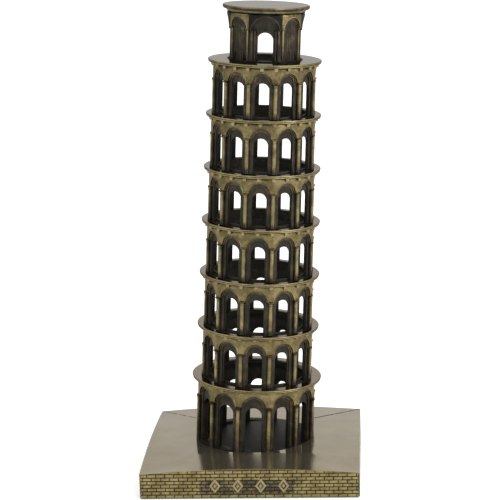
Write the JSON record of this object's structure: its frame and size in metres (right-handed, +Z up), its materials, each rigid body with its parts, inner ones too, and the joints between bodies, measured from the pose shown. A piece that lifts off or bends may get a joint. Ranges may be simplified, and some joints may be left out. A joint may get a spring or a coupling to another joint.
{
  "type": "miniature leaning tower",
  "caption": "Hollow leaning tower of eight arcaded storeys with balcony rings, on a square brick-faced plinth with a felt underside.",
  "frame": {"origin": "middle of the underside, on the surface the model stands on", "axes": "+Z up, +X right and +Y back as seen from the front, which carries the raised ornaments"},
  "size_m": [0.074, 0.0743, 0.163],
  "materials": {
    "plinth_bronze": "antique bronze plate on zinc alloy, brick faces buffed, top polished",
    "arcade_bronze": "antique bronze plate, dark in the recesses, buffed on columns and spandrels",
    "ring_bronze": "antique bronze plate, polished top and rim",
    "felt": "dark green felt",
    "screw_steel": "zinc-plated steel"
  },
  "bodies": {
    "root": {"plinth_casting": "plinth_bronze", "felt_pad": "felt", "tower_screws": "screw_steel", "screw_washers": "screw_steel", "storey_1_arcade": "arcade_bronze", "storey_2_arcade": "arcade_bronze", "storey_3_arcade": "arcade_bronze", "storey_4_arcade": "arcade_bronze", "storey_5_arcade": "arcade_bronze", "storey_6_arcade": "arcade_bronze", "storey_7_arcade": "arcade_bronze", "balcony_ring_1": "ring_bronze", "balcony_ring_2": "ring_bronze", "balcony_ring_3": "ring_bronze", "balcony_ring_4": "ring_bronze", "balcony_ring_5": "ring_bronze", "balcony_ring_6": "ring_bronze", "balcony_ring_7": "ring_bronze", "belfry_drum": "arcade_bronze", "belfry_cornice": "ring_bronze", "cap_disc": "ring_bronze"}
  },
  "joints": []
}
